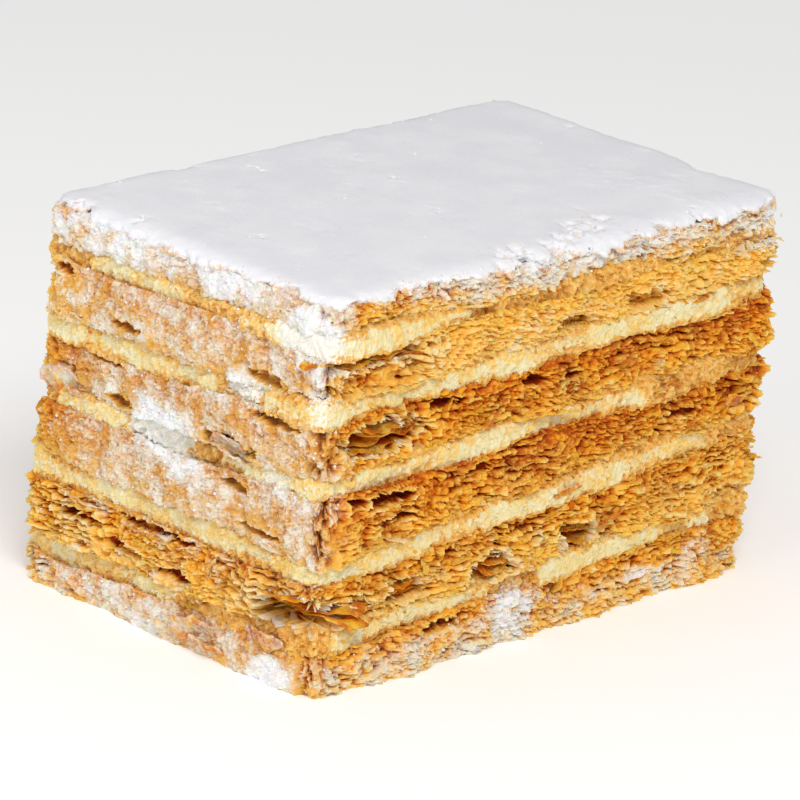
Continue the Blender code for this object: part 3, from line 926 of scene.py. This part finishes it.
# Places where the powder has fallen off and golden crust shows: x and y from the front left corner of
# the sheet and height, in millimetres.
BARE = (
    (14.0, 0.3, 55.0), (16.5, 0.0, 54.2), (19.5, 0.0, 53.8), (22.5, 0.0, 53.4), (25.0, 0.0, 52.6),
    (5.0, 0.0, 53.6), (7.0, 0.0, 52.6), (-0.4, 19.5, 53.4), (-0.4, 22.0, 52.8), (-0.4, 33.0, 52.0),
    (-0.4, 49.5, 52.6), (-0.4, 53.5, 51.6), (84.0, 0.0, 53.6), (80.0, 0.0, 52.8), (88.0, 1.5, 54.6),
    (3.5, 26.5, 60.5), (28.0, 7.5, 60.5), (42.5, 1.5, 56.4), (53.0, 7.5, 60.0), (76.0, 53.0, 60.0),
    (34.0, 3.2, 57.4), (37.0, 3.8, 57.6), (46.0, 3.4, 57.4), (49.0, 4.2, 57.7), (52.0, 4.6, 57.8),
    (50.5, 7.8, 58.1), (53.5, 7.4, 58.1), (56.5, 7.2, 58.1), (-0.4, 4.0, 52.8), (-0.2, 10.0, 54.6),
    (-0.2, 14.0, 53.4), (0.4, 50.5, 54.6), (0.2, 54.5, 53.4), (31.0, -0.3, 54.0), (36.0, -0.3, 53.2),
    (44.0, -0.3, 54.2), (57.0, -0.3, 53.6), (63.0, -0.3, 54.4), (71.0, -0.3, 53.8), (55.0, 55.0, 59.5),
    (84.0, 2.0, 59.5), (24.0, 57.0, 55.0), (50.0, 57.6, 54.4), (57.0, 57.6, 54.2), (64.0, 57.6, 54.4),
    (88.5, 45.0, 54.2),
)
sheet_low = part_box("pastry_sheet_6")[0]
bare_mesh = bpy.data.meshes.new("bare_spots")
bare_mesh.from_pydata([(sheet_low.x + x * MM, sheet_low.y + y * MM, z * MM) for x, y, z in BARE], [], [])
bare_spots = bpy.data.objects.new("bare_spots", bare_mesh)
bpy.context.scene.collection.objects.link(bare_spots)
under_sheet = joined_copy("under_sheet", "pastry_sheet_6")
sugar = joined_copy("sugar_cap", "icing_sugar")
sugar_low, sugar_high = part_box("icing_sugar")

# The powder is worked out on a fine grid, from under its lowest rim to its top.
GRID_FOOT = 47.0 * MM
VOXEL = 0.36 * MM
sugar_low.z = GRID_FOOT
across, along, up = (round((top - foot + 2 * CAP_ROOM) / VOXEL) for foot, top in zip(sugar_low, sugar_high))
grow(sugar, sifting, under_sheet=under_sheet, bare_spots=bare_spots, voxel=VOXEL, across=across, along=along,
     up=up, skin=0.75 * MM, shoulder=5.6 * MM, rim_height=53.0 * MM, relief=0.20 * MM,
     lowest=sugar_low, highest=sugar_high, finish=powdered)
bpy.data.objects.remove(under_sheet)
bpy.data.objects.remove(bare_spots)
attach(sugar, "root")
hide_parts("icing_sugar")


# ---------------------------------------------------------------------------------------------------
# Loose leaves, flakes and crumbs. The knife breaks the baked leaves, and their shards and crumbs stay
# stuck in the cut sides, most of them lying in the direction of the sheets.

cut_sides = bpy.data.collections.new("cut_sides")
for piece in pastry_pieces + cream_pieces + [sugar]:
    cut_sides.objects.link(piece)


def torn_and_curled(tree, bits, given, made, rag_size, curl_size):
    """Bends the bits, makes each one ragged in its own way, keeps them in the box and ends the tree."""
    place = add(tree, "GeometryNodeInputPosition").outputs[0]
    rag = drift(place, rag_size, 2.0)
    curl = drift(place, curl_size, 1.0)
    moved = moved_by(scaled(rag, given["Rag"]), scaled(curl, given["Curl"]))
    moved = held_in_box(moved_by(place, moved), given)
    bits = add(tree, "GeometryNodeSetPosition", {"Geometry": bits, "Position": moved}).outputs[0]
    end_tree(bits, given, made)


def facing_out(tree, outward, tilt):
    """The turn that faces a bit outwards and then tilts it, by those three angles."""
    level = add(
        tree, "FunctionNodeAlignRotationToVector", {"Vector": outward}, axis="Y", pivot_axis="Z").outputs[0]
    tilt = add(tree, "FunctionNodeEulerToRotation", {0: tilt}).outputs[0]
    return add(tree, "FunctionNodeRotateRotation", {0: level, 1: tilt}, rotation_space="LOCAL").outputs[0]


def loose_tree(name, add_shape, rag_size, curl_size):
    """A tree that strews one kind of loose bit over the cut sides. add_shape makes the bit, 1 m across."""
    tree, given, made = new_tree(name, (
        ("Sides", "Collection"), ("Catch", "String"), ("Density", "Float"), ("Patches", "Float"),
        ("Smallest", "Float"), ("Largest", "Float"), ("Tilt", "Vector"), ("Proud", "Float"),
        ("Rag", "Float"), ("Curl", "Float"), ("Seed", "Int"),
        ("Lowest", "Vector"), ("Highest", "Vector"), ("Finish", "Material")))
    sides = add(tree, "GeometryNodeCollectionInfo", {0: given["Sides"]}).outputs[0]
    sides = add(tree, "GeometryNodeRealizeInstances", {0: sides}).outputs[0]
    place = add(tree, "GeometryNodeInputPosition").outputs[0]
    catch = named(tree, given["Catch"])
    on_wall = maths("GREATER_THAN", named(tree, "push"), 0.86)
    patch = eased_share(clouds(place, 6 * MM), 0.38, 0.62)
    patch = plus(times(patch, given["Patches"]), minus(1.0, given["Patches"]))
    factor = times(times(catch, on_wall), patch)
    density = times(factor, given["Density"])
    point_inputs = {"Mesh": sides, "Density": density, "Seed": given["Seed"]}
    points = add(tree, "GeometryNodeDistributePointsOnFaces", point_inputs).outputs[0]
    outward = named(tree, "outward", "FLOAT_VECTOR")
    stand = add(tree, "FunctionNodeRandomValue", {2: -1.0, 3: 0.35, "Seed": 5}, data_type="FLOAT").outputs[1]
    offset = scaled(outward, times(stand, given["Proud"]))
    points = add(tree, "GeometryNodeSetPosition", {"Geometry": points, "Offset": offset}).outputs[0]
    tilt_low = vector_maths("MULTIPLY", given["Tilt"], (-1.0, -1.0, -1.0))
    tilt_inputs = {0: tilt_low, 1: given["Tilt"], "Seed": 6}
    tilt = add(tree, "FunctionNodeRandomValue", tilt_inputs, data_type="FLOAT_VECTOR").outputs[0]
    turn = facing_out(tree, outward, tilt)
    chance = add(tree, "FunctionNodeRandomValue", {2: 0.0, 3: 1.0, "Seed": 7}, data_type="FLOAT").outputs[1]
    growth = minus(given["Largest"], given["Smallest"])
    size = times_plus(times(chance, chance), growth, given["Smallest"])
    bits = add(tree, "GeometryNodeInstanceOnPoints", {
        "Points": points, "Instance": add_shape(tree), "Rotation": turn, "Scale": size}).outputs[0]
    tone = add(tree, "FunctionNodeRandomValue", {2: -0.45, 3: 0.45, "Seed": 8}, data_type="FLOAT").outputs[1]
    bits = add(tree, "GeometryNodeStoreNamedAttribute", {
        "Geometry": bits, "Name": "tone", "Value": tone}, data_type="FLOAT", domain="INSTANCE").outputs[0]
    bits = add(tree, "GeometryNodeRealizeInstances", {0: bits}).outputs[0]
    torn_and_curled(tree, bits, given, made, rag_size, curl_size)
    return tree


def plate(across, along, size):
    """Adds a thin plate with that many points each way, and that length, width and thickness."""
    return lambda tree: add(tree, "GeometryNodeMeshCube", {
        "Size": size, "Vertices X": across, "Vertices Y": along, "Vertices Z": 2}).outputs[0]


def round_plate(across, along, size):
    """Adds such a plate with its outline drawn in to an oval."""
    def add_plate(tree):
        flat = plate(across, along, (2.0, 2.0, 1.0))(tree)
        x, y, z = parts(add(tree, "GeometryNodeInputPosition").outputs[0])
        drawn = []
        for one, other, span in ((x, y, size[0]), (y, x, size[1])):
            share = maths("SQRT", times_plus(times(other, other), -0.5, 1.0))
            drawn.append(times(times(one, share), span / 2))
        oval = add(tree, "ShaderNodeCombineXYZ", {0: drawn[0], 1: drawn[1], 2: times(z, size[2])}).outputs[0]
        return add(tree, "GeometryNodeSetPosition", {"Geometry": flat, "Position": oval}).outputs[0]
    return add_plate


def lump(size):
    """Adds a lump of twenty faces with that length, width and thickness."""
    def add_lump(tree):
        ball = add(tree, "GeometryNodeMeshIcoSphere", {"Radius": 0.5, "Subdivisions": 1}).outputs[0]
        return add(tree, "GeometryNodeTransform", {"Geometry": ball, "Scale": size}).outputs[0]
    return add_lump


LOOSE = (
    ("leaf_edges", plate(11, 3, (1.0, 0.20, 0.022)), 0.7 * MM, 2.6 * MM, "pastry", baked,
     {"catch": "catch_leaves", "density": 46e3, "patches": 0.7, "smallest": 1.6 * MM, "largest": 5.0 * MM,
      "tilt": (0.35, 0.12, 0.2), "proud": 0.5 * MM, "rag": 1.0 * MM, "curl": 1.3 * MM, "seed": 11}),
    ("chips", lump((1.0, 0.75, 0.20)), 0.45 * MM, 2.0 * MM, "pastry", baked,
     {"catch": "catch_leaves", "density": 400e3, "patches": 0.5, "smallest": 0.4 * MM, "largest": 1.5 * MM,
      "tilt": (1.1, 0.6, 3.1), "proud": 0.5 * MM, "rag": 1.0 * MM, "curl": 0.3 * MM, "seed": 12}),
    ("flakes", round_plate(7, 5, (1.0, 0.75, 0.045)), 0.6 * MM, 2.0 * MM, "pastry", baked,
     {"catch": "catch_leaves", "density": 22e3, "patches": 1.0, "smallest": 1.4 * MM, "largest": 3.6 * MM,
      "tilt": (1.3, 0.4, 3.1), "proud": 0.6 * MM, "rag": 1.5 * MM, "curl": 1.3 * MM, "seed": 13}),
    ("crumbs", lump((1.0, 0.9, 0.8)), 0.4 * MM, 1.0 * MM, "pastry", baked,
     {"catch": "catch", "density": 310e3, "patches": 0.2, "smallest": 0.25 * MM, "largest": 0.75 * MM,
      "tilt": (3.1, 3.1, 3.1), "proud": 0.45 * MM, "rag": 0.5 * MM, "curl": 0.2 * MM, "seed": 14}),
    ("sugar_grains", lump((1.0, 0.9, 0.8)), 0.3 * MM, 1.0 * MM, "icing_sugar", powdered,
     {"catch": "frost", "density": 1.05e6, "patches": 0.6, "smallest": 0.16 * MM, "largest": 0.50 * MM,
      "tilt": (3.1, 3.1, 3.1), "proud": 0.25 * MM, "rag": 0.2 * MM, "curl": 0.1 * MM, "seed": 15}),
)
for name, shape, rag_size, curl_size, slot, finish, values in LOOSE:
    bits = bpy.data.objects.new(name, bpy.data.meshes.new(name))
    bpy.context.scene.collection.objects.link(bits)
    grow(bits, loose_tree("strewn_" + name, shape, rag_size, curl_size), sides=cut_sides,
         lowest=cad_low, highest=cad_high, finish=finish, **values)
    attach(bits, "root")
bpy.data.collections.remove(cut_sides)

# Inside each pocket lie the leaves that the butter parted: thin, wavy and torn at their front edge.
parting, given, made = new_tree("parted_leaves", (
    ("Rag", "Float"), ("Curl", "Float"), ("Lowest", "Vector"), ("Highest", "Vector"), ("Finish", "Material")))
turn = facing_out(
    parting, named(parting, "outward", "FLOAT_VECTOR"), named(parting, "tilt", "FLOAT_VECTOR"))
leaves = add(parting, "GeometryNodeInstanceOnPoints", {
    "Points": given["Geometry"], "Instance": round_plate(15, 9, (1.0, 1.0, 1.0))(parting), "Rotation": turn,
    "Scale": named(parting, "size", "FLOAT_VECTOR")}).outputs[0]
leaves = add(parting, "GeometryNodeRealizeInstances", {0: leaves}).outputs[0]
place = add(parting, "GeometryNodeInputPosition").outputs[0]
# The leaves and flakes get random values in the crust's recess attribute: a tone of their own, mostly darker,
# like the painted shade in the crevices round them.
leaves = keep(leaves, "hollow", times_plus(clouds(place, 2.5 * MM, 3.0), 1.6, -0.35))
torn_and_curled(parting, leaves, given, made, 0.7 * MM, 3.0 * MM)


def wall_at(way):
    """The place and outward direction on the slice's side, that far round from the front left corner."""
    if way < 0:
        return Vector((cad_low.x + 1.2 * MM, cad_low.y + 2.2 * MM - way, 0)), Vector((-1, 0, 0))
    return Vector((cad_low.x + 1.8 * MM + way, cad_low.y + 1.3 * MM, 0)), Vector((0, -1, 0))


chance = random.Random(31)
leaf_places, leaf_outs, leaf_sizes, leaf_tilts, leaf_frosts = [], [], [], [], []
for way, height, half_way, half_height, pocket_depth in POCKETS:
    leaf_count = 2 + round(half_height * 0.9) if pocket_depth > 2.9 and way > -20 else 0
    for k in range(leaf_count):
        share = (k + chance.uniform(0.2, 0.8)) / leaf_count * 2 - 1
        along = way + chance.uniform(-0.3, 0.3) * half_way
        foot, out = wall_at(along * MM)
        corner = 0.7 if abs(way) < 6 and half_way > 8 else 0.0
        out = (out + Vector((-corner, -corner, 0))).normalized()
        reach = pocket_depth * chance.uniform(0.9, 1.15)
        back = pocket_depth * 0.50 + chance.uniform(1.2, 2.6) + 2.2 * corner
        leaf_places.append(foot - out * back * MM + Vector((0, 0, (height + share * half_height) * MM)))
        leaf_outs.append(out)
        leaf_sizes.append(
            (half_way * chance.uniform(1.1, 1.9) * MM, reach * MM, chance.uniform(0.06, 0.11) * MM))
        leaf_tilts.append(
            (chance.uniform(-0.22, 0.12), chance.uniform(-0.10, 0.10), chance.uniform(-0.2, 0.2)))
        leaf_frosts.append(0.0)

# Big flakes stuck on the cut sides: way round, height, how far out, length, width, thickness, all in
# millimetres, then the three tilts in radians.
BIG_FLAKES = (
    (-52.5, 30.0, -1.6, 8.0, 4.6, 0.30, 1.25, 0.10, 0.0),
    (-48.5, 28.9, -1.2, 5.0, 3.0, 0.22, 0.90, -0.25, 0.0),
    (-22.5, 3.4, -0.7, 8.0, 5.0, 0.25, 1.15, 0.20, 0.10),
    (-20.0, 2.2, -0.6, 6.0, 3.4, 0.20, 0.60, -0.15, 0.15),
    (-18.0, 31.0, -0.9, 6.5, 3.8, 0.20, 0.90, 0.20, -0.1),
    (-16.0, 29.6, -0.7, 5.5, 3.0, 0.18, 0.45, -0.10, 0.1),
    (-9.0, 6.4, -0.8, 6.0, 3.2, 0.22, 1.05, -0.10, 0.10),
    (-31.0, 14.4, -0.9, 8.0, 2.6, 0.16, 0.25, 0.05, 0.05),
    (-46.0, 14.6, -0.9, 7.0, 2.4, 0.16, 0.35, -0.10, 0.05),
    (56.0, 14.6, -0.7, 5.0, 3.0, 0.22, 1.10, 0.35, 0.1),
    (66.0, 31.0, -0.8, 5.0, 3.0, 0.22, 1.0, 0.1, 0.1),
    (80.0, 27.0, -0.9, 5.0, 3.0, 0.22, 0.9, -0.15, 0.1),
    (31.0, 33.8, -0.8, 4.6, 2.6, 0.18, 0.9, 0.15, 0.1),
    (47.0, 20.0, -0.8, 5.0, 2.6, 0.18, 0.9, 0.10, 0.1),
)
for way, height, stand, length, width, thickness, *tilts in BIG_FLAKES:
    foot, out = wall_at(way * MM)
    leaf_places.append(foot + out * stand * MM + Vector((0, 0, height * MM)))
    leaf_outs.append(out)
    leaf_sizes.append((length * MM, width * MM, thickness * MM))
    leaf_tilts.append(tilts)
    leaf_frosts.append(0.50 if way < 0 else 0.20)
leaf_mesh = bpy.data.meshes.new("pocket_leaves")
leaf_mesh.from_pydata(leaf_places, [], [])
for label, values in (("outward", leaf_outs), ("size", leaf_sizes), ("tilt", leaf_tilts)):
    layer = leaf_mesh.attributes.new(label, "FLOAT_VECTOR", "POINT")
    layer.data.foreach_set("vector", np.array([tuple(value) for value in values], np.float32).ravel())
pocket_leaves = bpy.data.objects.new("pocket_leaves", leaf_mesh)
store(pocket_leaves, "frost", leaf_frosts)
bpy.context.scene.collection.objects.link(pocket_leaves)
grow(pocket_leaves, parting, rag=1.2 * MM, curl=2.0 * MM, lowest=cad_low, highest=cad_high, finish=baked)
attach(pocket_leaves, "root")
